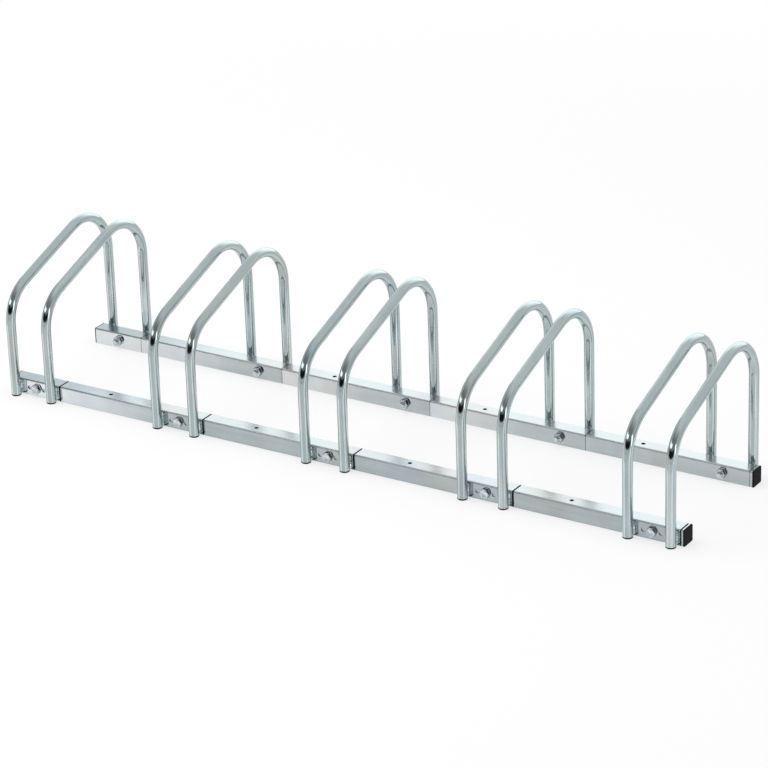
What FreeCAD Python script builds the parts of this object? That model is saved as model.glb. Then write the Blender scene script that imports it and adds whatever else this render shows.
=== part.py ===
import FreeCAD, Part
import Sketcher
import math
import os

# Floor bike rack in zinc-plated steel tube, millimetres, +Z up, floor at Z = 0.
# X runs along the rack and a wheel rolls in along +Y, between the two hoops of a place.
# The hoops are welded outside two square rails, at the front and at the rear.
# Each rail is one length per place. The lengths plug into each other and are bolted.

doc = FreeCAD.newDocument("BikeRack")

sizeList = [
    ("places", 5, "places for a wheel, each a pair of hoops"),
    ("pitch", 330, "from one place to the next"),
    ("tyreGap", 64, "clear width between the two hoops of a place"),
    ("rackDepth", 337, "outside of the front legs to outside of the rear legs"),
    ("tubeDiameter", 19, "hoop tube, outside"),
    ("tubeWall", 1.2, "hoop tube, wall"),
    ("legHeight", 145, "floor to the start of the elbow"),
    ("elbowRadius", 75, "bend over the front leg, at the tube's centre"),
    ("riseAngle", 19.5, "slope of the straight run towards the rear, degrees"),
    ("crownRadius", 80, "bend over the rear leg, at the tube's centre"),
    ("railSide", 32, "square rail, outside"),
    ("railWall", 1.5, "square rail, wall"),
    ("railCorner", 3, "square rail, outer corner radius"),
    ("leastCorner", 0.3, "smallest corner radius inside a square tube"),
    ("railOverhang", 13, "hoop centre to the end of its rail"),
    ("frontSeam", 3, "gap left between two lengths of the front rail"),
    ("rearSeam", 1.2, "gap left between two lengths of the rear rail"),
    ("plugClearance", 0.2, "plug tube to rail bore, each side"),
    ("plugWall", 1.5, "plug tube, wall"),
    ("plugReach", 80, "plug tube, length in the rail that is bolted to it"),
    ("plugRoot", 45, "plug tube, length in the rail that it is fixed in"),
    ("collarLength", 2.5, "end plug of the front rail, collar that shows past the last length"),
    ("capFlange", 2.5, "end cap, thickness of the flange"),
    ("capEdge", 0.8, "end cap, rounding of the flange"),
    ("capInsert", 16, "end cap, length inside the tube"),
    ("capWall", 2, "end cap, wall of the insert"),
    ("capCorner", 0.5, "end cap, inner corner radius of the insert"),
    ("capClearance", 0.15, "end cap insert to bore, each side"),
    ("footFlange", 3, "foot plug, thickness of the flange"),
    ("footBevel", 0.8, "foot plug, bevel round the underside"),
    ("footInsert", 14, "foot plug, length inside the tube"),
    ("footClearance", 0.15, "foot plug insert to bore"),
    ("boltDiameter", 10, "bolt shank"),
    ("boltClearance", 0.5, "bolt hole, past the shank all round"),
    ("headAcross", 17, "bolt head and nut, across flats"),
    ("headHeight", 6.4, "bolt head"),
    ("nutHeight", 8, "nut on the inner face of the rail"),
    ("threadPlay", 0.1, "nut bore to shank"),
    ("boltTail", 5, "bolt shank, length past the nut"),
    ("bevelAngle", 30, "bevel on the corners of head and nut, degrees"),
    ("sideHole", 8, "holes beside each bolt head, diameter"),
    ("sideHoleStep", 17, "holes beside each bolt head, from the bolt"),
    ("floorHole", 8, "holes for floor screws, diameter"),
    ("weldRoot", 2.5, "weld bead, line of contact to its near side"),
    ("weldReach", 9, "weld bead, line of contact to its far side"),
    ("weldMargin", 3.5, "weld bead, its ends to the top and underside of the rail"),
]

sheet = doc.addObject("Spreadsheet::Sheet", "Sizes")
for row, (name, number, note) in enumerate(sizeList, start=1):
    sheet.set("A%d" % row, name)
    sheet.set("B%d" % row, str(number))
    sheet.set("C%d" % row, note)
    sheet.setAlias("B%d" % row, name)
doc.recompute()

# Lengths that follow from the sheet. Features are bound to these expressions.
legRadius = "(Sizes.tubeDiameter / 2)"
tubeBore = "(Sizes.tubeDiameter - 2 * Sizes.tubeWall)"
legOffset = "((Sizes.rackDepth - Sizes.tubeDiameter) / 2)"
halfPair = "((Sizes.tyreGap + Sizes.tubeDiameter) / 2)"
railMiddle = "(Sizes.railSide / 2)"
railOffset = "(%s - %s - %s)" % (legOffset, legRadius, railMiddle)
railBore = "(Sizes.railSide - 2 * Sizes.railWall)"
boreCorner = "max(Sizes.railCorner - Sizes.railWall; Sizes.leastCorner)"
plugSide = "(%s - 2 * Sizes.plugClearance)" % railBore
plugBore = "(%s - 2 * Sizes.plugWall)" % plugSide
plugCorner = "max(%s - Sizes.plugWall; Sizes.leastCorner)" % boreCorner
seamReach = "(%s + Sizes.railOverhang)" % halfPair
endReach = "(Sizes.frontSeam + Sizes.collarLength)"
railsLength = "((Sizes.places - 1) * Sizes.pitch + 2 * %s + %s)" % (seamReach, endReach)
rackLength = "(%s + 2 * Sizes.capFlange)" % railsLength
firstPlace = "(Sizes.capFlange + %s - %s / 2)" % (seamReach, rackLength)
boltHole = "(Sizes.boltDiameter + 2 * Sizes.boltClearance)"

upright = FreeCAD.Rotation()
turnedRound = FreeCAD.Rotation(FreeCAD.Vector(0, 0, 1), 180)
turnedOver = FreeCAD.Rotation(FreeCAD.Vector(1, 0, 0), 180)
headToFront = FreeCAD.Rotation(FreeCAD.Vector(1, 0, 0), 90)
headToRear = FreeCAD.Rotation(FreeCAD.Vector(1, 0, 0), -90)
subparts = []


def value(text):
    return float(sheet.evalExpression(text))


def place(item, x="0", y="0", z="0", rotation=upright):
    item.Placement = FreeCAD.Placement(FreeCAD.Vector(0, 0, 0), rotation)
    item.setExpression("Placement.Base.x", x)
    item.setExpression("Placement.Base.y", y)
    item.setExpression("Placement.Base.z", z)


def keep(item, label):
    item.Label = label
    subparts.append(item)


def placeX(index):
    # middle of a place, counted from 0 at the left end
    return "(%s + %d * Sizes.pitch)" % (firstPlace, index)


# Sketches, each on a plane of its own body

def newSketch(body, name, role, offset="0"):
    plane = [item for item in body.Origin.OriginFeatures if item.Role == role][0]
    sketch = body.newObject("Sketcher::SketchObject", name)
    sketch.AttachmentSupport = (plane, [""])
    sketch.MapMode = "FlatFace"
    sketch.setExpression("AttachmentOffset.Base.z", offset)
    return sketch


def fix(sketch, *terms):
    return sketch.addConstraint(Sketcher.Constraint(*terms))


def dimension(sketch, text, *terms):
    index = sketch.addConstraint(Sketcher.Constraint(*terms))
    sketch.setExpression("Constraints[%d]" % index, text)


def point(x, y):
    return FreeCAD.Vector(x, y, 0)


def arc(centre, radius, start, end):
    circle = Part.Circle(centre, FreeCAD.Vector(0, 0, 1), radius)
    return Part.ArcOfCircle(circle, start, end)


def drawCircle(sketch, diameter, x, y):
    circle = Part.Circle(point(x, y), FreeCAD.Vector(0, 0, 1), value(diameter) / 2)
    index = sketch.addGeometry(circle)
    dimension(sketch, diameter, "Diameter", index, value(diameter))
    return index


def drawRoundedSquare(sketch, side, corner):
    # four sides and four tangent corners, centred on the sketch's origin
    half = value(side) / 2
    radius = value(corner)
    inner = half - radius
    sides = []
    corners = []
    for turn in range(4):
        angle = turn * math.pi / 2
        spin = FreeCAD.Rotation(FreeCAD.Vector(0, 0, 1), math.degrees(angle))
        start = spin.multVec(point(-inner, -half))
        end = spin.multVec(point(inner, -half))
        centre = spin.multVec(point(inner, -inner))
        sides.append(sketch.addGeometry(Part.LineSegment(start, end)))
        corners.append(sketch.addGeometry(arc(centre, radius, angle - math.pi / 2, angle)))
    for turn in range(4):
        fix(sketch, "Tangent", sides[turn], 2, corners[turn], 1)
        fix(sketch, "Tangent", corners[turn], 2, sides[(turn + 1) % 4], 1)
    fix(sketch, "Horizontal", sides[0])
    fix(sketch, "Vertical", sides[1])
    for turn in (1, 2, 3):
        fix(sketch, "Equal", corners[0], corners[turn])
    fix(sketch, "Symmetric", corners[0], 3, corners[2], 3, -1, 1)
    dimension(sketch, corner, "Radius", corners[0], radius)
    dimension(sketch, side, "DistanceX", sides[3], 1, sides[1], 1, 2 * half)
    dimension(sketch, side, "DistanceY", sides[0], 1, sides[2], 1, 2 * half)


def newPad(body, name, sketch, length, reverse=False):
    pad = body.newObject("PartDesign::Pad", name)
    pad.Profile = sketch
    pad.Reversed = reverse
    pad.setExpression("Length", length)
    return pad


def newPocket(body, name, sketch, length):
    pocket = body.newObject("PartDesign::Pocket", name)
    pocket.Profile = sketch
    pocket.setExpression("Length", length)
    return pocket


def drillBoltHole(body):
    # through both walls, at the piece's own zero
    outer = newSketch(body, "BoltCentre", "XZ_Plane", railMiddle)
    bolt = drawCircle(outer, boltHole, 0, 0)
    fix(outer, "Coincident", bolt, 3, -1, 1)
    newPocket(body, "BoltHole", outer, "Sizes.railSide")


# Hoop: one tube, up from the front foot, over the elbow, up a straight rise,
# and over the crown down to the rear foot

def buildHoop(label, x):
    body = doc.addObject("PartDesign::Body", "Hoop")
    half = value(legOffset)
    foot = value("Sizes.footFlange")
    legTop = value("Sizes.legHeight")
    elbow = value("Sizes.elbowRadius")
    crown = value("Sizes.crownRadius")
    rise = math.radians(value("Sizes.riseAngle"))
    normal = rise + math.pi / 2
    outward = point(math.cos(normal), math.sin(normal))

    elbowCentre = point(-half + elbow, legTop)
    riseStart = elbowCentre + outward * elbow
    riseEndX = half - crown + crown * outward.x
    riseEnd = point(riseEndX, riseStart.y + (riseEndX - riseStart.x) * math.tan(rise))
    crownCentre = riseEnd - outward * crown

    path = newSketch(body, "Path", "YZ_Plane")
    frontLeg = path.addGeometry(Part.LineSegment(point(-half, foot), point(-half, legTop)))
    elbowBend = path.addGeometry(arc(elbowCentre, elbow, normal, math.pi))
    straight = path.addGeometry(Part.LineSegment(riseStart, riseEnd))
    crownBend = path.addGeometry(arc(crownCentre, crown, 0, normal))
    rearLeg = path.addGeometry(Part.LineSegment(point(half, crownCentre.y), point(half, foot)))
    fix(path, "Tangent", frontLeg, 2, elbowBend, 2)
    fix(path, "Tangent", elbowBend, 1, straight, 1)
    fix(path, "Tangent", straight, 2, crownBend, 2)
    fix(path, "Tangent", crownBend, 1, rearLeg, 1)
    fix(path, "Vertical", frontLeg)
    fix(path, "Vertical", rearLeg)
    dimension(path, "Sizes.elbowRadius", "Radius", elbowBend, elbow)
    dimension(path, "Sizes.crownRadius", "Radius", crownBend, crown)
    dimension(path, "Sizes.riseAngle * 1 deg", "Angle", straight, rise)
    dimension(path, legOffset, "DistanceX", frontLeg, 1, -1, 1, half)
    dimension(path, legOffset, "DistanceX", -1, 1, rearLeg, 2, half)
    dimension(path, "Sizes.footFlange", "DistanceY", -1, 1, frontLeg, 1, foot)
    dimension(path, "Sizes.footFlange", "DistanceY", -1, 1, rearLeg, 2, foot)
    dimension(path, "Sizes.legHeight", "DistanceY", -1, 1, elbowBend, 3, legTop)

    section = newSketch(body, "Section", "XY_Plane", "Sizes.footFlange")
    outside = drawCircle(section, "Sizes.tubeDiameter", 0, -half)
    bore = drawCircle(section, tubeBore, 0, -half)
    fix(section, "Coincident", outside, 3, bore, 3)
    fix(section, "PointOnObject", outside, 3, -2)
    dimension(section, legOffset, "DistanceY", outside, 3, -1, 1, half)

    tube = body.newObject("PartDesign::AdditivePipe", "Tube")
    tube.Profile = section
    tube.Spine = (path, [])
    place(body, x)
    keep(body, label)


# Rail: a length of square tube. Its own zero is at the bolt, midway between the hoops,
# and -Y is its outer face. A rear rail is turned over, so that it faces the other way.

def buildRail(label, index, y, seam, rotation):
    body = doc.addObject("PartDesign::Body", "Rail")
    if index == 0:
        leftReach = seamReach
    else:
        leftReach = "(Sizes.pitch - %s - %s)" % (seamReach, seam)

    section = newSketch(body, "Section", "YZ_Plane", "-" + leftReach)
    drawRoundedSquare(section, "Sizes.railSide", "Sizes.railCorner")
    drawRoundedSquare(section, railBore, boreCorner)
    newPad(body, "Tube", section, "%s + %s" % (leftReach, seamReach))
    drillBoltHole(body)

    # two more holes, through the outer wall only
    outer = newSketch(body, "OuterFace", "XZ_Plane", railMiddle)
    step = value("Sizes.sideHoleStep")
    right = drawCircle(outer, "Sizes.sideHole", step, 0)
    fix(outer, "PointOnObject", right, 3, -1)
    dimension(outer, "Sizes.sideHoleStep", "DistanceX", -1, 1, right, 3, step)
    left = drawCircle(outer, "Sizes.sideHole", -step, 0)
    fix(outer, "PointOnObject", left, 3, -1)
    dimension(outer, "Sizes.sideHoleStep", "DistanceX", left, 3, -1, 1, step)
    newPocket(body, "SideHoles", outer, railMiddle)

    if index > 0:
        across = value("Sizes.pitch / 2")
        top = newSketch(body, "TopFace", "XY_Plane", railMiddle)
        screw = drawCircle(top, "Sizes.floorHole", -across, 0)
        fix(top, "PointOnObject", screw, 3, -1)
        dimension(top, "Sizes.pitch / 2", "DistanceX", screw, 3, -1, 1, across)
        newPocket(body, "FloorScrewHole", top, "Sizes.railSide")
    place(body, placeX(index), y, railMiddle, rotation)
    keep(body, label)


# Plug: a smaller square tube across each seam, bolted to the rail on its left.
# The last one is short and has a collar, which takes the end cap.

def buildPlug(label, index, y, seam, isLast):
    body = doc.addObject("PartDesign::Body", "Plug")
    start = "(%s - Sizes.plugReach)" % seamReach
    if isLast:
        rightReach = endReach
    else:
        rightReach = "(%s + Sizes.plugRoot)" % seam
    section = newSketch(body, "Section", "YZ_Plane", start)
    drawRoundedSquare(section, plugSide, boreCorner)
    drawRoundedSquare(section, plugBore, plugCorner)
    newPad(body, "Tube", section, "Sizes.plugReach + " + rightReach)
    if isLast:
        ring = newSketch(body, "CollarSection", "YZ_Plane", "(%s + %s)" % (seamReach, seam))
        drawRoundedSquare(ring, "Sizes.railSide", "Sizes.railCorner")
        drawRoundedSquare(ring, plugBore, plugCorner)
        newPad(body, "Collar", ring, "%s - %s" % (endReach, seam))
    drillBoltHole(body)
    place(body, placeX(index), y, railMiddle)
    keep(body, label)


# End cap: a flange as large as the rail and a hollow insert, pushed in up to the flange

def buildCap(label, x, y, bore, corner, rotation):
    body = doc.addObject("PartDesign::Body", "Cap")
    outline = newSketch(body, "Outline", "YZ_Plane")
    drawRoundedSquare(outline, "Sizes.railSide", "Sizes.railCorner")
    flange = newPad(body, "Flange", outline, "Sizes.capFlange")
    doc.recompute()
    rim = []
    for number, edge in enumerate(flange.Shape.Edges, start=1):
        if edge.BoundBox.XMin > value("Sizes.capFlange") / 2:
            rim.append("Edge%d" % number)
    rounding = body.newObject("PartDesign::Fillet", "RoundedRim")
    rounding.Base = (flange, rim)
    rounding.setExpression("Radius", "Sizes.capEdge")
    doc.recompute()
    insert = newSketch(body, "InsertSection", "YZ_Plane")
    insertSide = "(%s - 2 * Sizes.capClearance)" % bore
    drawRoundedSquare(insert, insertSide, corner)
    drawRoundedSquare(insert, "(%s - 2 * Sizes.capWall)" % insertSide, "Sizes.capCorner")
    newPad(body, "Insert", insert, "Sizes.capInsert", True)
    place(body, x, y, railMiddle, rotation)
    keep(body, label)


# Small round and hexagonal pieces, grouped where they are alike

def newCylinder(radius, height, z="0"):
    item = doc.addObject("Part::Cylinder", "Cylinder")
    item.setExpression("Radius", radius)
    item.setExpression("Height", height)
    place(item, z=z)
    return item


def newCone(lower, upper, height):
    item = doc.addObject("Part::Cone", "Cone")
    item.setExpression("Radius1", lower)
    item.setExpression("Radius2", upper)
    item.setExpression("Height", height)
    return item


def combine(kind, base, tool):
    item = doc.addObject(kind, "Combined")
    item.Base = base
    item.Tool = tool
    return item


def group(label, members):
    item = doc.addObject("Part::Compound", "Group")
    item.Links = members
    place(item)
    keep(item, label)


def buildFootPlug(x, y):
    # plastic plug in the open end of a leg, which stands on its flange
    bevel = newCone("%s - Sizes.footBevel" % legRadius, legRadius, "Sizes.footBevel")
    flange = newCylinder(legRadius, "Sizes.footFlange - Sizes.footBevel", "Sizes.footBevel")
    insertRadius = "%s / 2 - Sizes.footClearance" % tubeBore
    insert = newCylinder(insertRadius, "Sizes.footInsert", "Sizes.footFlange")
    plug = combine("Part::Fuse", combine("Part::Fuse", bevel, flange), insert)
    place(plug, x, y)
    return plug


def newHexagon(height):
    # the corners of its far end are cut to a cone
    prism = doc.addObject("Part::Prism", "Hexagon")
    prism.Polygon = 6
    prism.setExpression("Circumradius", "Sizes.headAcross / sqrt(3)")
    prism.setExpression("Height", height)
    spread = "Sizes.headAcross / 2 + %s / tan(Sizes.bevelAngle * 1 deg)" % height
    return combine("Part::Common", prism, newCone(spread, "Sizes.headAcross / 2", height))


def buildBolt(x, y, rotation):
    # head on the outer face, shank through the rail, the plug tube and the nut
    length = "(Sizes.railSide + Sizes.nutHeight + Sizes.boltTail)"
    head = newHexagon("Sizes.headHeight")
    shank = newCylinder("Sizes.boltDiameter / 2", length, "-" + length)
    bolt = combine("Part::Fuse", head, shank)
    place(bolt, x, y, railMiddle, rotation)
    return bolt


def buildNut(x, y, rotation):
    bore = newCylinder("Sizes.boltDiameter / 2 + Sizes.threadPlay", "Sizes.nutHeight")
    nut = combine("Part::Cut", newHexagon("Sizes.nutHeight"), bore)
    place(nut, x, y, railMiddle, rotation)
    return nut


def buildWeldPair(x, y, rotation):
    # the two beads in the corners between a leg and the flat face of its rail:
    # a half round about their line of contact, less the leg and the gap at the root
    height = "Sizes.railSide - 2 * Sizes.weldMargin"
    halfRound = newCylinder("Sizes.weldReach", height)
    halfRound.Angle = 180
    leg = newCylinder(legRadius, height)
    place(leg, y=legRadius)
    root = doc.addObject("Part::Box", "Root")
    root.setExpression("Length", "2 * Sizes.weldRoot")
    root.setExpression("Width", "Sizes.weldReach")
    root.setExpression("Height", height)
    place(root, x="-Sizes.weldRoot")
    pair = combine("Part::Cut", combine("Part::Cut", halfRound, leg), root)
    place(pair, x, y, "Sizes.weldMargin", rotation)
    return pair


# Assembly, from the left end to the right

placeCount = int(value("Sizes.places"))
lastPlace = placeCount - 1
leftEnd = "(%s - %s)" % (placeX(0), seamReach)
rightEnd = "(%s + %s + %s)" % (placeX(lastPlace), seamReach, endReach)
outerFace = "(%s + %s)" % (railOffset, railMiddle)
innerFace = "(%s - %s)" % (railOffset, railMiddle)
rows = [
    ("front", "-" + railOffset, "Sizes.frontSeam", upright),
    ("rear", railOffset, "Sizes.rearSeam", turnedOver),
]

for index in range(placeCount):
    legs = ["(%s %s %s)" % (placeX(index), sign, halfPair) for sign in "-+"]
    buildHoop("hoop_left_%d" % (index + 1), legs[0])
    buildHoop("hoop_right_%d" % (index + 1), legs[1])
    welds = [buildWeldPair(x, "-" + outerFace, turnedRound) for x in legs]
    welds += [buildWeldPair(x, outerFace, upright) for x in legs]
    group("welds_%d" % (index + 1), welds)
    feet = [buildFootPlug(x, "-" + legOffset) for x in legs]
    feet += [buildFootPlug(x, legOffset) for x in legs]
    group("foot_plugs_%d" % (index + 1), feet)
    for row, y, seam, rotation in rows:
        buildRail("%s_rail_%d" % (row, index + 1), index, y, seam, rotation)
        if index < lastPlace:
            buildPlug("%s_plug_tube_%d" % (row, index + 1), index, y, seam, False)

for row, y, seam, rotation in rows:
    buildPlug(row + "_end_plug", lastPlace, y, seam, True)
    buildCap(row + "_left_cap", leftEnd, y, railBore, boreCorner, turnedRound)
    buildCap(row + "_right_cap", rightEnd, y, plugBore, plugCorner, upright)

middles = [placeX(index) for index in range(placeCount)]
bolts = [buildBolt(x, "-" + outerFace, headToFront) for x in middles]
bolts += [buildBolt(x, outerFace, headToRear) for x in middles]
group("bolts", bolts)
nuts = [buildNut(x, "-" + innerFace, headToRear) for x in middles]
nuts += [buildNut(x, innerFace, headToFront) for x in middles]
group("nuts", nuts)

doc.recompute()

for item in doc.Objects:
    if "Invalid" in item.State or "Error" in item.State:
        raise RuntimeError("%s failed: %s" % (item.Label, item.State))
    if item.TypeId == "PartDesign::Pocket":
        if item.Shape.Volume > item.BaseFeature.Shape.Volume - 1:
            raise RuntimeError("%s cuts nothing" % item.Name)
for item in subparts:
    if item.Shape.isNull() or not item.Shape.isValid():
        raise RuntimeError("%s has no valid shape" % item.Label)

os.makedirs("parts", exist_ok=True)
for item in subparts:
    item.Shape.exportStep("parts/%s.step" % item.Label)
print("%d sub-parts written" % len(subparts))
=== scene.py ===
import math

import bpy
from mathutils import Matrix, Vector, noise


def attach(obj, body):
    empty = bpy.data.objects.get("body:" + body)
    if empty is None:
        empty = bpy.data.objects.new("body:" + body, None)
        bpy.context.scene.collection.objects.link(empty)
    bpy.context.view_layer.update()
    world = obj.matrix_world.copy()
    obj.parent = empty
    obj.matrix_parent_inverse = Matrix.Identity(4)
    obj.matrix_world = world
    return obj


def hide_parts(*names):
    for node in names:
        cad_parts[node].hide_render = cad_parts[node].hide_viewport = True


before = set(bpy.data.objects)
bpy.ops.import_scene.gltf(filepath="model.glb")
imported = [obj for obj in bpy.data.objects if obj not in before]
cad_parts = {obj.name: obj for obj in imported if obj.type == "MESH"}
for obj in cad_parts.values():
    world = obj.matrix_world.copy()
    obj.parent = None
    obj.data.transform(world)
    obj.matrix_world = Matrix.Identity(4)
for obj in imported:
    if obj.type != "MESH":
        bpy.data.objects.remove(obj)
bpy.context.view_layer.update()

# Floor bike rack: the looks. Lengths are in metres, in the frame of the solids.
# X runs along the rack, a wheel rolls in along +Y, and the floor is at Z = 0.

rack = {
    "places": 5,
    "pitch": 0.330,        # from one place to the next
    "middle": -0.00275,    # X of the middle place
    "halfPair": 0.0415,    # middle of a place to the middle of each hoop
    "legOffset": 0.159,    # middle of the rack to the middle of a leg
    "outerFace": 0.1495,   # middle of the rack to the outer face of a rail
    "innerFace": 0.1175,
    "railMiddle": 0.016,   # height of the middle of a rail
}
placeX = [rack["middle"] + rack["pitch"] * (i - (rack["places"] - 1) / 2)
          for i in range(rack["places"])]


# Shader values: arithmetic on them adds Math nodes

class Wire:
    def __init__(self, tree, socket=None):
        self.tree = tree
        self.socket = socket

    def node(self, kind, settings=None, inputs=None, output=0):
        # a node of any type: its settings first, then the values or links of its sockets
        item = self.tree.nodes.new("ShaderNode" + kind)
        for name, setting in (settings or {}).items():
            setattr(item, name, setting)
        for name, content in (inputs or {}).items():
            if isinstance(content, Wire):
                self.tree.links.new(content.socket, item.inputs[name])
            else:
                item.inputs[name].default_value = content
        return Wire(self.tree, item.outputs[output] if item.outputs else None)

    def maths(self, operation, first, second=0.0):
        return self.node("Math", {"operation": operation}, {0: first, 1: second})

    def __add__(self, other):
        return self.maths("ADD", self, other)

    def __radd__(self, other):
        return self.maths("ADD", other, self)

    def __sub__(self, other):
        return self.maths("SUBTRACT", self, other)

    def __rsub__(self, other):
        return self.maths("SUBTRACT", other, self)

    def __mul__(self, other):
        return self.maths("MULTIPLY", self, other)

    def __rmul__(self, other):
        return self.maths("MULTIPLY", other, self)

    def __truediv__(self, other):
        return self.maths("DIVIDE", self, other)

    def __rtruediv__(self, other):
        return self.maths("DIVIDE", other, self)

    def high(self, other):
        return self.maths("MAXIMUM", self, other)

    def low(self, other):
        return self.maths("MINIMUM", self, other)

    def part(self, axis):
        return self.node("SeparateXYZ", inputs={"Vector": self}, output=axis)

    def scaled(self, x, y, z):
        return self.node("VectorMath", {"operation": "MULTIPLY"}, {0: self, 1: (x, y, z)})

    def towards(self, direction):
        # how far this direction points the same way as another, from -1 to 1
        return self.node("VectorMath", {"operation": "DOT_PRODUCT"}, {0: self, 1: direction}, 1)

    def eased(self, start, end, low=0.0, high=1.0):
        return self.node("MapRange", {"interpolation_type": "SMOOTHSTEP"}, {
            "Value": self, "From Min": start, "From Max": end, "To Min": low, "To Max": high})

    def cloud(self, scale, detail=2.0, roughness=0.5):
        return self.node("TexNoise", inputs={
            "Vector": self, "Scale": scale, "Detail": detail, "Roughness": roughness})

    def mottled(self, scale):
        # soft patches, from 0 to 1
        return self.cloud(scale, 4.0, 0.6).eased(0.32, 0.68)

    def lined(self, grain):
        # fine lines, drawn out along the axis where the grain is coarse
        return self.scaled(*grain).cloud(1.0, 3.0, 0.6)

    def blend(self, first, second):
        # this value picks between two colours
        return self.node("Mix", {"data_type": "RGBA"}, {0: self, 6: first, 7: second}, 2)

    def tinted(self, amount, tint):
        # this colour, multiplied by a tint where the amount is high
        return self.node("Mix", {"data_type": "RGBA", "blend_type": "MULTIPLY"},
                         {0: amount, 6: self, 7: tint}, 2)

    def bumped(self, strength, distance, under=None):
        inputs = {"Strength": strength, "Distance": distance, "Height": self}
        if under:
            inputs["Normal"] = under
        return self.node("Bump", inputs=inputs)


def newMaterial(name):
    material = bpy.data.materials.new(name)
    material.use_nodes = True
    material.node_tree.nodes.clear()
    return material, Wire(material.node_tree)


def tone(red, green, blue):
    # a colour with levels from 0 to 255, as a paint program gives it
    def straight(level):
        level /= 255
        return level / 12.92 if level <= 0.04045 else ((level + 0.055) / 1.055) ** 2.4
    return (straight(red), straight(green), straight(blue), 1.0)


# Zinc plating: cold silver with a trace of green, softly mirroring.
# Gloss is the roughness of the smoothest and the roughest spots, patches is how many patches
# of tone there are to a metre, and a grain is how fine a pattern is along each axis.

zinc = {
    "hoop": {
        "light": tone(185, 197, 197),
        "dark": tone(173, 186, 187),
        # painted reflection: the tone of the light lines on the legs
        "paintedLineTone": tone(208, 218, 218),
        "gloss": (0.05, 0.12),
        "patches": 14.0,
        "lightLineGrain": (150.0, 1.4, 1.0),
        "darkLineGrain": (190.0, 1.8, 1.0),
        "lineGrain": (1400.0, 9.0, 1.0),
        "fade": (0.13, 0.19, 1.0, 0.35),   # heights where the painted reflection lines fade, and from what to what
        "lines": 0.10,
        "pits": 0.05,
    },
    "rail": {
        "light": tone(178, 187, 188),
        "dark": tone(164, 174, 176),
        # painted reflection: a bright tone where the rails mirror more light, a dim one where they
        # mirror less
        "paintedBright": tone(228, 233, 235),
        "paintedDim": tone(148, 159, 163),
        "gloss": (0.05, 0.12),
        "patches": 11.0,
        "plugPatches": 40.0,
        "smearGrain": (1.5, 30.0, 30.0),
        "lineGrain": (8.0, 900.0, 900.0),
        "lines": 0.05,
        "pits": 0.04,
    },
    "bead": {
        "light": tone(224, 231, 231),
        "dark": tone(122, 136, 138),
        "gloss": (0.10, 0.24),
        "patches": 260.0,
        "pits": 0.35,
    },
    "bolt": {
        "light": tone(208, 215, 217),
        "dark": tone(180, 189, 193),
        "gloss": (0.12, 0.20),
        "patches": 120.0,
        "pits": 0.10,
    },
    "scale": {"light": tone(34, 35, 37), "dark": tone(18, 18, 20)},   # painted shade for the seam gaps, near black
    "warm": (1.0, 0.95, 0.92, 1.0),      # the passivated surface drifts between two tints
    "blue": (0.93, 0.95, 1.0, 1.0),
    "warmPatches": 6.0,
    "bluePatches": 8.5,
    "edge": (0.80, 0.84, 0.84, 1.0),     # tint of the mirror at a grazing angle
    "lineDepth": 0.0003,
    "pitDepth": 0.0002,
    "pitPatches": 900.0,
}
seam = {
    "start": rack["halfPair"] + 0.013,   # from the middle of a place to the end of its rail
    "edge": 0.0005,        # painted shade: a dark band on each side of that end, for the shadow in the gap
    "root": 0.0462,        # what a plug tube has past the seam; in the front row it is painted near black there, as shade in the gap
    "rootGloss": 3.0,      # how much rougher that is
}
paintedReflectionAndGloss = {
    "lengths": (0.01, 0.26, 0.62, 0.0),     # painted reflection: how bright a rear side is painted along its length of rail
    "lastBright": (0.30, 0.42, 1.0, 0.0),    # X where that ends
    "rearSides": 0.25,                      # how much painted bright reflection the rear sides have everywhere
    "leftSides": (-0.66, -0.30, 0.95, 0.0), # how much the sides are painted bright, by X, at the left of the rack
    "tops": 0.3,                            # how much painted bright reflection the tops have everywhere
    "dimTops": (-0.66, -0.38, 1.0, 0.0),   # how much the tops are painted darker, by X, as a dimmer reflection
    "topGloss": 2.0,                        # how much rougher the tops are than the sides
    "topMetal": 0.8,                        # share of metal in the tops, which mirror less
}


def alongPitch(spot, early=0.0):
    # distance past the last seam to the left, counted from a little before it
    start = placeX[0] + seam["start"] - rack["pitch"] - early
    turns = (spot.part(0) - start) / rack["pitch"]
    return turns.maths("FRACT", turns) * rack["pitch"]


def plate(tree, look, spot, colour, gloss, surface, metal=1.0):
    # what all the zinc has: two drifting tints, fine pits and a tinted edge
    fine = spot.cloud(zinc["pitPatches"], 2.0, 0.6)
    surface = fine.bumped(look["pits"], zinc["pitDepth"], surface)
    smooth, rough = look["gloss"]
    colour = colour.tinted(spot.cloud(zinc["warmPatches"]).eased(0.50, 0.66), zinc["warm"])
    colour = colour.tinted(spot.cloud(zinc["bluePatches"]).eased(0.52, 0.66), zinc["blue"])
    shader = tree.node("BsdfPrincipled", inputs={
        "Base Color": colour, "Metallic": metal, "Roughness": smooth + (rough - smooth) * gloss,
        "Specular Tint": zinc["edge"], "Normal": surface})
    tree.node("OutputMaterial", inputs={"Surface": shader})


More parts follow.
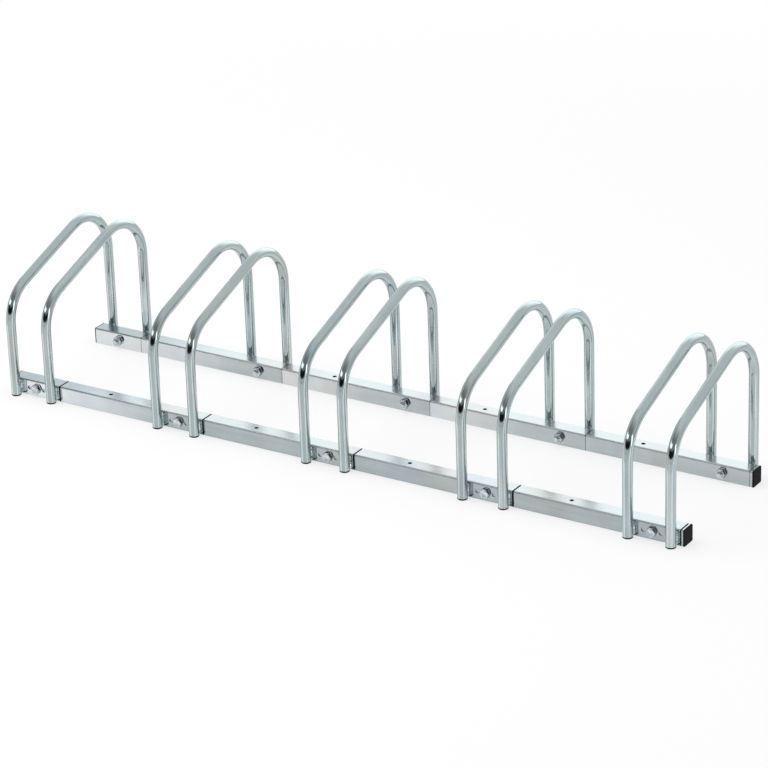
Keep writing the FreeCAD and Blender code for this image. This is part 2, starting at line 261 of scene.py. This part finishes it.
def hoopZinc():
    # painted reflection: light and dark lines run along the legs and fade above them; drawing lines
    # run along the whole tube
    look = zinc["hoop"]
    material, tree = newMaterial("hoopZinc")
    spot = tree.node("TexCoord", output=3)
    grain = tree.node("UVMap", {"uv_map": "alongTube"})
    cloudy = spot.mottled(look["patches"])
    leg = spot.part(2).eased(*look["fade"])
    # painted reflection: light lines and dark lines along the legs, faded out above them
    paintedLight = grain.scaled(*look["lightLineGrain"]).cloud(1.0).eased(0.56, 0.66) * leg
    paintedDark = grain.scaled(*look["darkLineGrain"]).cloud(1.3).eased(0.52, 0.68) * leg
    colour = (cloudy * 0.7 + 0.3 - 0.5 * paintedDark).high(0.0).blend(look["dark"], look["light"])
    colour = paintedLight.blend(colour, look["paintedLineTone"])
    lines = grain.lined(look["lineGrain"])
    gloss = cloudy * 0.5 + lines * 0.5
    plate(tree, look, spot, colour, gloss, lines.bumped(look["lines"], zinc["lineDepth"]))
    return material


def railZinc():
    # painted reflection: the rear sides are painted brightest at the left end of each length, the
    # sides brighter at the left end of the rack, and the tops darker to the left; the rail ends at
    # each seam get painted shade
    look = zinc["rail"]
    material, tree = newMaterial("railZinc")
    spot = tree.node("TexCoord", output=3)
    across = spot.part(0)
    past = alongPitch(spot)
    # side is 0 on the tops and 1 on all else; rear is 1 in the rear row
    side = tree.node("NewGeometry", output=1).part(2).eased(0.2, 0.5, 1.0, 0.0)
    top = 1.0 - side
    rear = spot.part(1).eased(-0.01, 0.01)
    smear = spot.scaled(*look["smearGrain"]).cloud(3.0, 4.0, 0.6).eased(0.35, 0.65)
    patchy = spot.mottled(look["patches"]) * 0.5 + smear * 0.5
    # painted reflection: brighter at the left of each rear length and at the left end of the rack,
    # and a little on all tops
    paintedBright = past.eased(*paintedReflectionAndGloss["lengths"]) * across.eased(*paintedReflectionAndGloss["lastBright"]) + paintedReflectionAndGloss["rearSides"]
    paintedBright = (paintedBright * rear).high(across.eased(*paintedReflectionAndGloss["leftSides"])) * side + paintedReflectionAndGloss["tops"] * top
    colour = paintedBright.blend(patchy.blend(look["dark"], look["light"]), look["paintedBright"])
    # painted reflection: the tops are painted darker towards the left end
    colour = (across.eased(*paintedReflectionAndGloss["dimTops"]) * top).blend(colour, look["paintedDim"])
    # painted shade: a near-black band at each seam, on all faces but the rear row's upright ones
    seamShade = past.maths("LESS_THAN", alongPitch(spot, seam["edge"]), 2 * seam["edge"])
    colour = (seamShade * (1.0 - rear * side)).blend(colour, zinc["scale"]["dark"])
    lines = spot.lined(look["lineGrain"])
    plate(tree, look, spot, colour, patchy + top * paintedReflectionAndGloss["topGloss"],
          lines.bumped(look["lines"], zinc["lineDepth"]),
          paintedReflectionAndGloss["topMetal"] + (1.0 - paintedReflectionAndGloss["topMetal"]) * side)
    return material


def plugZinc():
    # plated where it slides into a rail; in the front row, past the seam, painted near black as
    # shade in the gap, and rougher
    look = zinc["rail"]
    gapShade = zinc["scale"]
    material, tree = newMaterial("plugZinc")
    spot = tree.node("TexCoord", output=3)
    cloudy = spot.mottled(look["plugPatches"])
    past = alongPitch(spot)
    # painted shade: the front row's plug tube is near black where it shows in the seam gap
    root = past.maths("LESS_THAN", past, seam["root"]) * spot.part(1).eased(0.01, -0.01)
    plated = cloudy.blend(look["dark"], look["light"])
    colour = root.blend(plated, cloudy.blend(gapShade["dark"], gapShade["light"]))
    lines = spot.lined(look["lineGrain"])
    plate(tree, look, spot, colour, cloudy + seam["rootGloss"] * root,
          lines.bumped(look["lines"], zinc["lineDepth"]))
    return material


def smallZinc(name):
    # weld beads or fasteners
    look = zinc[name]
    material, tree = newMaterial(name + "Zinc")
    spot = tree.node("TexCoord", output=3)
    cloudy = spot.mottled(look["patches"])
    rough = spot.cloud(look["patches"] * 2.3, 3.0, 0.6)
    plate(tree, look, spot, cloudy.blend(look["dark"], look["light"]), rough,
          cloudy.bumped(0.1, zinc["pitDepth"]))
    return material


plastic = {
    "colour": tone(10, 10, 11),
    "worn": tone(22, 23, 24),
    "patches": 60.0,
    "smooth": 0.42,
    "rougher": 0.16,       # what the grain adds to that roughness
    "shine": 0.04,
    "grain": 0.25,
    "grainDepth": 0.0002,
    "grainPatches": 1400.0,
}


def blackPlastic():
    material, tree = newMaterial("blackPlastic")
    spot = tree.node("TexCoord", output=3)
    worn = spot.cloud(plastic["patches"], 4.0, 0.6).eased(0.45, 0.75)
    grain = spot.cloud(plastic["grainPatches"])
    shader = tree.node("BsdfPrincipled", inputs={
        "Base Color": worn.blend(plastic["colour"], plastic["worn"]),
        "Roughness": plastic["smooth"] + plastic["rougher"] * grain,
        "Specular IOR Level": plastic["shine"],
        "Normal": grain.bumped(plastic["grain"], plastic["grainDepth"])})
    tree.node("OutputMaterial", inputs={"Surface": shader})
    return material


finishes = {
    "hoop_tube": hoopZinc(),
    "rail_tube": railZinc(),
    "inner_tube": plugZinc(),
    "weld_bead": smallZinc("bead"),
    "fastener": smallZinc("bolt"),
    "black_plastic": blackPlastic(),
}
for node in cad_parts.values():
    for holder in node.material_slots:
        holder.material = finishes[holder.material.name.split(".")[0]]
print("finishes:", len(finishes))


# Meshes

def newPiece(name, corners, faces, slotName, node, creaseAngle, uv=None):
    mesh = bpy.data.meshes.new(name)
    mesh.from_pydata(corners, [], faces)
    if uv:
        layer = mesh.uv_layers.new(name="alongTube")
        for loop in mesh.loops:
            layer.data[loop.index].uv = uv[loop.vertex_index]
    mesh.shade_smooth()
    mesh.set_sharp_from_angle(angle=math.radians(creaseAngle))
    mesh.materials.append(finishes[slotName])
    piece = bpy.data.objects.new(name, mesh)
    bpy.context.scene.collection.objects.link(piece)
    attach(piece, "root")
    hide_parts(node)


def addRing(faces, lower, upper, count):
    # a band of faces between two closed rings of corners
    for i in range(count):
        j = (i + 1) % count
        faces.append((lower + i, lower + j, upper + j, upper + i))


# Hoop: one bent tube, a little flattened on the outside of its bends

hoop = {
    "radius": 0.00947,
    "bore": 0.0083,
    "foot": 0.003,         # height of the open ends
    "legTop": 0.145,
    "elbow": 0.075,
    "crown": 0.080,
    "rise": math.radians(19.5),
    "flat": 0.035,         # share of the radius lost on the outside of a bend
    "inside": 0.4,         # how much of that loss the inside of the bend has
    "wider": 0.35,         # how much of it the tube gains in width
    "blend": 0.015,        # length over which the flattening sets in
    "sides": 48,
    "step": 0.004,         # length of a row of faces
    "bendRows": 1.5,       # how many more rows a bend has
    "girth": 0.06,         # length round the tube, for the painted lines and the drawing lines
    "shift": (0.37, 1.3),  # moves the painted lines and drawing lines from one hoop to the next
}


def hoopPath():
    # points along the middle line: Y and Z, direction, share of bend, length so far
    half = rack["legOffset"]
    rise = hoop["rise"]
    normal = rise + math.pi / 2
    outward = Vector((math.cos(normal), math.sin(normal)))
    elbowCentre = Vector((hoop["elbow"] - half, hoop["legTop"]))
    riseStart = elbowCentre + outward * hoop["elbow"]
    riseEndY = half - hoop["crown"] + hoop["crown"] * outward.x
    riseEnd = Vector((riseEndY, riseStart.y + (riseEndY - riseStart.x) * math.tan(rise)))
    crownCentre = riseEnd - outward * hoop["crown"]
    up = math.pi / 2
    runs = [
        ("run", Vector((-half, hoop["foot"])), Vector((-half, hoop["legTop"])), up),
        ("bend", elbowCentre, hoop["elbow"], math.pi, normal),
        ("run", riseStart, riseEnd, rise),
        ("bend", crownCentre, hoop["crown"], normal, 0.0),
        ("run", Vector((half, crownCentre.y)), Vector((half, hoop["foot"])), -up),
    ]
    points = []
    travelled = 0.0
    for run in runs:
        if run[0] == "run":
            start, end, heading = run[1:]
            length = (end - start).length
            count = max(2, round(length / hoop["step"]))
            for i in range(count):
                share = i / count
                points.append((start.lerp(end, share), heading, 0.0, travelled + length * share))
        else:
            centre, radius, first, last = run[1:]
            length = radius * abs(last - first)
            count = max(8, round(length / hoop["step"] * hoop["bendRows"]))
            for i in range(count):
                share = i / count
                angle = first + (last - first) * share
                spot = centre + Vector((math.cos(angle), math.sin(angle))) * radius
                nearest = min(share, 1 - share) * length
                bend = min(1.0, nearest / hoop["blend"])
                points.append((spot, angle - up, bend, travelled + length * share))
        travelled += length
    points.append((runs[-1][2], -up, 0.0, travelled))
    return points


def hoopTube(name, x, node, turn):
    path = hoopPath()
    sides = hoop["sides"]
    aside, along = (turn * shift for shift in hoop["shift"])
    corners = []
    faces = []
    uv = []
    for radius in (hoop["radius"], hoop["bore"]):
        for spot, heading, bend, travelled in path:
            loss = hoop["flat"] * bend * (3 - 2 * bend) * bend
            for i in range(sides):
                angle = 2 * math.pi * i / sides
                outside = math.sin(angle)
                reach = radius * outside * (1 - (loss if outside > 0 else loss * hoop["inside"]))
                wide = radius * math.cos(angle) * (1 + loss * hoop["wider"])
                y = spot.x - math.sin(heading) * reach
                z = spot.y + math.cos(heading) * reach
                corners.append((x + wide, y, z))
                uv.append((aside + abs(i / sides - 0.5) * hoop["girth"], along + travelled))
    rows = len(path)
    for row in range(rows - 1):
        addRing(faces, row * sides, (row + 1) * sides, sides)
        addRing(faces, (rows + row + 1) * sides, (rows + row) * sides, sides)
    addRing(faces, rows * sides, 0, sides)
    addRing(faces, (rows - 1) * sides, (2 * rows - 1) * sides, sides)
    newPiece(name, corners, faces, "hoop_tube", node, 40, uv)


for i, x in enumerate(placeX):
    hoopTube("leftHoop%d" % (i + 1), x - rack["halfPair"], "hoop_left_%d" % (i + 1), 2 * i)
    hoopTube("rightHoop%d" % (i + 1), x + rack["halfPair"], "hoop_right_%d" % (i + 1), 2 * i + 1)
print("hoops:", 2 * len(placeX))


# Weld beads: a stack of overlapping ripples in each corner between a leg and its rail

bead = {
    "reach": 0.0090,       # line of contact to the outside of the bead
    "narrower": 0.20,      # share of that reach which the ends lose
    "bottom": 0.0032,
    "top": 0.0288,
    "end": 0.07,           # share of the height over which each end narrows
    "ripple": 0.0053,      # height of one ripple
    "swell": 0.0013,       # how far a ripple stands out
    "arch": 1.2,           # how curved a ripple is
    "lean": 0.25,          # how far it leans, at most
    "lumps": 0.00075,
    "lumpGrain": 190,
    "belly": 0.0006,       # what the middle of the width stands out
    "start": -2,           # degrees from the face of the rail, where the outside starts
    "span": 33,
    "inner": [(0.0045, 0.0011), (0.0045, -0.0003)],   # its corners behind the leg
    "rows": 84,
    "columns": 14,
}


def weldBeads(name, x, node, turn):
    corners = []
    faces = []
    loop = bead["columns"] + 1 + len(bead["inner"])
    for number, (leg, front) in enumerate([(-1, -1), (1, -1), (-1, 1), (1, 1)]):
        for side in (-1, 1):
            first = len(corners)
            # no two beads have the same ripples
            seed = turn * 17.3 + number * 5.1 + side * 2.7
            lean = bead["lean"] * noise.noise((seed, 0.3, 1.7))
            for row in range(bead["rows"] + 1):
                share = row / bead["rows"]
                height = bead["bottom"] + (bead["top"] - bead["bottom"]) * share
                taper = min(1.0, share / bead["end"], (1 - share) / bead["end"]) ** 0.5
                outline = []
                for column in range(bead["columns"] + 1):
                    across = column / bead["columns"]
                    angle = math.radians(bead["start"] + bead["span"] * across)
                    arch = (across - 0.5) ** 2 * bead["arch"] + lean * across
                    phase = (height / bead["ripple"] + arch + seed) % 1.0
                    ripple = (1 - phase) * (1 - (1 - phase) ** 6)
                    lump = noise.noise((height * bead["lumpGrain"] + seed,
                                        across * 1.6, seed * 0.7))
                    radius = bead["reach"] * (1 - bead["narrower"] * (1 - taper))
                    radius += bead["belly"] * math.sin(math.pi * across)
                    radius += bead["swell"] * ripple * taper + bead["lumps"] * lump
                    outline.append((radius * math.cos(angle), radius * math.sin(angle)))
                for out, away in outline + bead["inner"]:
                    corners.append((x + leg * rack["halfPair"] + side * out,
                                    front * (rack["outerFace"] + away), height))
            for row in range(bead["rows"]):
                addRing(faces, first + row * loop, first + (row + 1) * loop, loop)
            faces.append(tuple(range(first + loop - 1, first - 1, -1)))
            last = first + bead["rows"] * loop
            faces.append(tuple(range(last, last + loop)))
    newPiece(name, corners, faces, "weld_bead", node, 60)


for i, x in enumerate(placeX):
    weldBeads("weldBeads%d" % (i + 1), x, "welds_%d" % (i + 1), i)
print("weld beads:", 8 * len(placeX))


# Bolts and nuts: turned outlines with a hexagon, and a thread where the bolt shows past its nut

fastener = {
    "across": 0.017,       # across the flats
    "corner": 1.142,       # where the corners are rounded off, in halves of that
    "rim": 0.93,           # where the flat top of a head or nut ends, likewise
    "chamfer": 0.955,      # where its bevel starts, likewise
    "washer": 0.94,        # where the round face on the rail ends, likewise
    "bevel": 30,           # degrees
    "head": 0.0064,
    "dish": 0.00025,       # depth of the hollow in the top of a head
    "nut": 0.008,
    "bore": 0.0051,
    "mouth": 0.0060,       # radius of the bore of a nut at its countersunk end
    "shank": 0.005,
    "threadPitch": 0.0015,
    "threadDepth": 0.0008,
    "threadCrest": 0.12,   # share of the pitch that is left flat
    "threadStart": 0.0018, # how far inside the nut the thread starts
    "threadRows": 56,
    "point": 0.0041,       # radius where the end of a bolt starts to taper
    "tip": 0.0039,
    "grip": 0.032,         # from head to nut
    "tail": 0.005,         # what stands out past the nut
    "sides": 72,
}


def hexagonReach(angle):
    # from the axis to the flats, with a little rounding at the corners
    half = fastener["across"] / 2
    turned = (angle % (math.pi / 3)) - math.pi / 6
    return min(half / math.cos(turned), half * fastener["corner"])


def turnedSolid(rings, closed):
    # each ring gives a radius and a height for an angle;
    # a solid that isn't closed joins its last ring to its first
    sides = fastener["sides"]
    corners = []
    faces = []
    for ring in rings:
        for i in range(sides):
            angle = 2 * math.pi * i / sides
            radius, height = ring(angle)
            corners.append(Vector((radius * math.cos(angle), radius * math.sin(angle), height)))
    for row in range(len(rings) - 1):
        addRing(faces, row * sides, (row + 1) * sides, sides)
    if closed:
        faces.append(tuple(range(sides - 1, -1, -1)))
        faces.append(tuple(range((len(rings) - 1) * sides, len(rings) * sides)))
    else:
        addRing(faces, (len(rings) - 1) * sides, 0, sides)
    return corners, faces


def level(radius, height):
    return lambda angle: (radius, height)


def hexagonLevel(height, share=1.0):
    return lambda angle: (hexagonReach(angle) * share, height)


def hexagonBevel(height, share=1.0):
    chamfer = fastener["across"] / 2 * fastener["chamfer"]
    slope = math.tan(math.radians(fastener["bevel"]))

    def ring(angle):
        reach = hexagonReach(angle)
        return (reach * share, height - max(0.0, reach - chamfer) * slope)
    return ring


def hexagonTop(height):
    # from the flat top, over the bevel, to the foot of the flats
    half = fastener["across"] / 2
    return [level(half * fastener["rim"], height),
            level(half * fastener["chamfer"], height - 0.00008),
            hexagonBevel(height - 0.0001, 0.992), hexagonBevel(height - 0.0003),
            hexagonLevel(0.0008)]


def thread(height, end):
    def ring(angle):
        phase = (height / fastener["threadPitch"] + angle / (2 * math.pi)) % 1.0
        crest = fastener["threadCrest"]
        groove = max(0.0, 1 - abs(phase - 0.5) * 2 - crest) / (1 - crest)
        radius = fastener["shank"] - fastener["threadDepth"] * groove
        return (min(radius, fastener["point"] + abs(height - end)), height)
    return ring


def boltRings():
    half = fastener["across"] / 2
    height = fastener["head"]
    dished = height - fastener["dish"]
    nutEnd = -fastener["grip"] - fastener["nut"]
    start = nutEnd + fastener["threadStart"]
    end = nutEnd - fastener["tail"]
    rings = [level(0.0002, dished), level(half * 0.62, dished),
             level(half * 0.72, height - 0.00002)]
    rings += hexagonTop(height)
    rings += [hexagonLevel(0.0005, 0.985), level(half * fastener["washer"], 0.0005),
              level(half * fastener["washer"], 0.0), level(fastener["shank"], 0.0),
              level(fastener["shank"], start + 0.0002)]
    turns = fastener["threadRows"]
    for i in range(turns + 1):
        rings.append(thread(start + (end - start) * i / turns, end))
    rings.append(level(fastener["tip"], end))
    return rings


def nutRings():
    height = fastener["nut"]
    rings = [level(fastener["bore"], 0.0), level(fastener["across"] / 2 * fastener["washer"], 0.0),
             hexagonLevel(0.0004, 0.99)]
    rings += reversed(hexagonTop(height))
    rings += [level(fastener["mouth"], height),
              level(fastener["bore"], height - (fastener["mouth"] - fastener["bore"]))]
    return rings


def fastenerSet(name, rings, faceY, turns, node, closed):
    # one on each length of rail: in the front row first, then in the rear row
    corners = []
    faces = []
    for side, turn in zip((-1, 1), turns):
        spin = Matrix.Rotation(math.radians(turn), 4, "X")
        for x in placeX:
            place = Matrix.Translation((x, side * faceY, rack["railMiddle"])) @ spin
            points, bands = turnedSolid(rings, closed)
            first = len(corners)
            corners += [tuple(place @ point) for point in points]
            faces += [tuple(first + index for index in band) for band in bands]
    newPiece(name, corners, faces, "fastener", node, 24)


fastenerSet("hexBolts", boltRings(), rack["outerFace"], (90, -90), "bolts", True)
fastenerSet("hexNuts", nutRings(), rack["innerFace"], (-90, 90), "nuts", False)
print("bolts and nuts:", 4 * len(placeX))


# Studio: a pale floor under an even light, and a room with lights in it that the metal mirrors

studio = {
    "azimuth": math.radians(32.55),
    "elevation": math.radians(23.54),
    "roll": math.radians(-2.05),
    "focal": 3400.0,       # in pixels of the square picture
    "picture": 768.0,
    "distance": 6.28,
    "aim": (371.8, 434.3), # where the middle of the middle place lands in the picture
    "floorSize": 30.0,
    "floorTone": 0.86,
    "shadow": 0.30,        # share of the floor's own shading that the picture keeps
    "shadowEnd": (1.2, 3.0, 1.0, 0.0),        # distances where that share fades to nothing
    "mirror": 0.28,        # how much of the lights the metal sees again in the floor
    "floorGloss": 0.12,
    "floorFront": (-3.2, -0.5, 0.45, 0.73),   # how bright the metal sees the floor, by Y
    "floorRear": (0.15, 0.6, 1.0, 0.5),       # and what is left of that behind the rack
}


def studioDirection(azimuthDegrees, elevationDegrees):
    azimuth = math.radians(azimuthDegrees)
    elevation = math.radians(elevationDegrees)
    return Vector((math.sin(azimuth) * math.cos(elevation),
                   -math.cos(azimuth) * math.cos(elevation), math.sin(elevation)))


surround = {
    "sky": 0.84,
    "backdrop": 1.0,       # what the white backdrop adds behind the rack
    "room": 0.57,          # what the dim room takes away on the camera's side
    "dark": 0.26,          # what its dark lower part takes on top of that
    "right": 0.17,         # what a dim area takes on the right
    "left": 0.14,          # and on the left
    "softbox": 2.1,
    "strip": 2.8,
    "even": 0.62,          # what reaches matt surfaces from all sides
    "uneven": 0.38,        # how much of the room's own light they get as well
    "brightest": 1.3,      # no light counts as brighter than this for them
}

# Degrees: a turn goes from the camera to the right round the rack, a rise goes up from the
# floor. Four numbers say where an area starts, is full, begins to fade and ends, and two say
# where its top begins to fade and ends.

areas = {
    "backdrop": 160,       # the turn of its middle
    "backdropTop": (24, 58),
    "room": -42,           # likewise
    "roomRise": (0, 9, 46, 84),
    "darkTurn": (-100, -70, 12, 22),
    "darkRise": (2, 8, 21, 27),
    "rightTurn": (30, 48, 75, 95),
    "rightTop": (30, 60),
    "leftTurn": (-155, -143, -125, -112),
    "leftTop": (40, 70),
    "softboxTurn": (-118, -100, -56, -46),
    "softboxRise": (25, 29, 35, 39),
    "softboxMiddle": -60,  # the turn at which its rise is as given
    "softboxTilt": 0.27,   # how much it rises with each degree of turn
    "stripTurn": (38, 42, 50, 54),
    "stripTop": (26, 32),
    "stripLean": 0.85,     # how much it turns to the left with each degree of rise
}


def studioWorld():
    # white for the camera; only the metal sees the areas and the lights
    world = bpy.data.worlds.new("softStudio")
    bpy.context.scene.world = world
    world.use_nodes = True
    world.node_tree.nodes.clear()
    tree = Wire(world.node_tree)
    look = tree.node("TexCoord", output=0)
    middle = math.degrees(studio["azimuth"])
    height = look.part(2)
    flat = (1.0 - height * height).high(0.0001)
    flat = flat.maths("SQRT", flat)
    front = look.towards(studioDirection(middle, 0))
    side = look.towards(studioDirection(middle + 90, 0))
    turn = side.maths("ARCTAN2", side, front) * (180 / math.pi)
    rise = height.maths("ARCSINE", height) * (180 / math.pi)

    def facing(name, start, end):
        direction = studioDirection(middle + areas[name], 0)
        return (look.towards(direction) / flat).eased(start, end)

    def between(angle, name):
        start, full, fade, end = areas[name]
        return angle.eased(start, full) * angle.eased(fade, end, 1.0, 0.0)

    def below(name):
        return rise.eased(*areas[name], 1.0, 0.0)

    backdrop = facing("backdrop", 0.6, 1.0) * below("backdropTop")
    room = facing("room", -0.1, 0.75) * between(rise, "roomRise")
    dark = between(turn, "darkTurn") * between(rise, "darkRise")
    right = between(turn, "rightTurn") * below("rightTop")
    left = between(turn, "leftTurn") * below("leftTop")
    light = surround["sky"] + surround["backdrop"] * backdrop - surround["room"] * room
    light = light - surround["dark"] * dark
    light = light - surround["right"] * right - surround["left"] * left
    tilted = rise - (turn - areas["softboxMiddle"]) * areas["softboxTilt"]
    softbox = between(turn, "softboxTurn") * between(tilted, "softboxRise")
    leaning = turn + rise * areas["stripLean"]
    strip = between(leaning, "stripTurn") * below("stripTop")
    light = light.high(softbox * surround["softbox"]).high(strip * surround["strip"])
    seen = tree.node("LightPath", output=0)
    glossy = tree.node("LightPath", output=3)
    plain = surround["even"] + surround["uneven"] * light.low(surround["brightest"])
    strength = seen.high(glossy * light + (1.0 - glossy) * plain * (1.0 - seen))
    tree.node("OutputWorld", inputs={"Surface": tree.node("Background", inputs={
        "Color": (1, 1, 1, 1), "Strength": strength})})


def studioFloor():
    # white to the camera apart from its shadows; the metal sees it in its own tone, with a sheen
    size = studio["floorSize"]
    mesh = bpy.data.meshes.new("paleFloor")
    mesh.from_pydata([(-size, -size, 0), (size, -size, 0), (size, size, 0), (-size, size, 0)],
                     [], [(0, 1, 2, 3)])
    floor = bpy.data.objects.new("paleFloor", mesh)
    bpy.context.scene.collection.objects.link(floor)
    material, tree = newMaterial("paleFloor")
    shade = studio["floorTone"]
    spot = tree.node("TexCoord", output=3)
    away = spot.node("VectorMath", {"operation": "LENGTH"}, {0: spot}, 1)
    kept = studio["shadow"] * away.eased(*studio["shadowEnd"])
    glossy = tree.node("LightPath", output=3)
    shown = tree.node("LightPath", output=0).high(glossy).high(tree.node("LightPath", output=6))
    matt = tree.node("BsdfDiffuse", inputs={"Color": (shade, shade, shade, 1.0)})
    depth = spot.part(1)
    far = depth.eased(*studio["floorFront"]) * depth.eased(*studio["floorRear"])
    white = tree.node("Emission", inputs={
        "Color": (1, 1, 1, 1), "Strength": glossy * far + (1.0 - glossy)})
    surface = tree.node("MixShader", inputs={0: shown * (1.0 - kept), 1: matt, 2: white})
    sheen = tree.node("BsdfAnisotropic", inputs={
        "Color": (1, 1, 1, 1), "Roughness": studio["floorGloss"]})
    sheen = tree.node("MixShader", inputs={0: glossy * studio["mirror"], 2: sheen})
    surface = tree.node("AddShader", inputs={0: surface, 1: sheen})
    tree.node("OutputMaterial", inputs={"Surface": surface})
    mesh.materials.append(material)


def studioLamp(name, azimuth, elevation, distance, size, power):
    light = bpy.data.lights.new(name, "AREA")
    light.shape = "SQUARE"
    light.size = size
    light.energy = power
    lamp = bpy.data.objects.new(name, light)
    bpy.context.scene.collection.objects.link(lamp)
    away = studioDirection(azimuth, elevation)
    lamp.location = away * distance
    lamp.rotation_euler = away.to_track_quat("Z", "Y").to_euler()
    lamp.visible_glossy = False


def studioCamera():
    azimuth = studio["azimuth"]
    away = studioDirection(math.degrees(azimuth), math.degrees(studio["elevation"]))
    right = Vector((math.cos(azimuth), math.sin(azimuth), 0))
    up = away.cross(right)
    roll = studio["roll"]
    rolledRight = right * math.cos(roll) + up * math.sin(roll)
    rolledUp = up * math.cos(roll) - right * math.sin(roll)
    perPixel = studio["distance"] / studio["focal"]
    aside = (studio["aim"][0] - studio["picture"] / 2) * perPixel
    below = (studio["aim"][1] - studio["picture"] / 2) * perPixel
    middle = Vector((rack["middle"], 0, 0))
    place = middle + away * studio["distance"] - rolledRight * aside + rolledUp * below
    lens = bpy.data.cameras.new("studioCamera")
    lens.sensor_fit = "HORIZONTAL"
    lens.sensor_width = 36.0
    lens.lens = studio["focal"] * lens.sensor_width / studio["picture"]
    lens.clip_end = 200.0
    camera = bpy.data.objects.new("studioCamera", lens)
    bpy.context.scene.collection.objects.link(camera)
    camera.matrix_world = Matrix((
        (rolledRight.x, rolledUp.x, away.x, place.x),
        (rolledRight.y, rolledUp.y, away.y, place.y),
        (rolledRight.z, rolledUp.z, away.z, place.z),
        (0, 0, 0, 1)))
    bpy.context.scene.camera = camera


studioWorld()
studioFloor()
studioLamp("overheadSoftbox", azimuth=-60, elevation=62, distance=4.0, size=2.4, power=60.0)
studioCamera()
bpy.context.scene.view_settings.view_transform = "Standard"
print("studio ready")
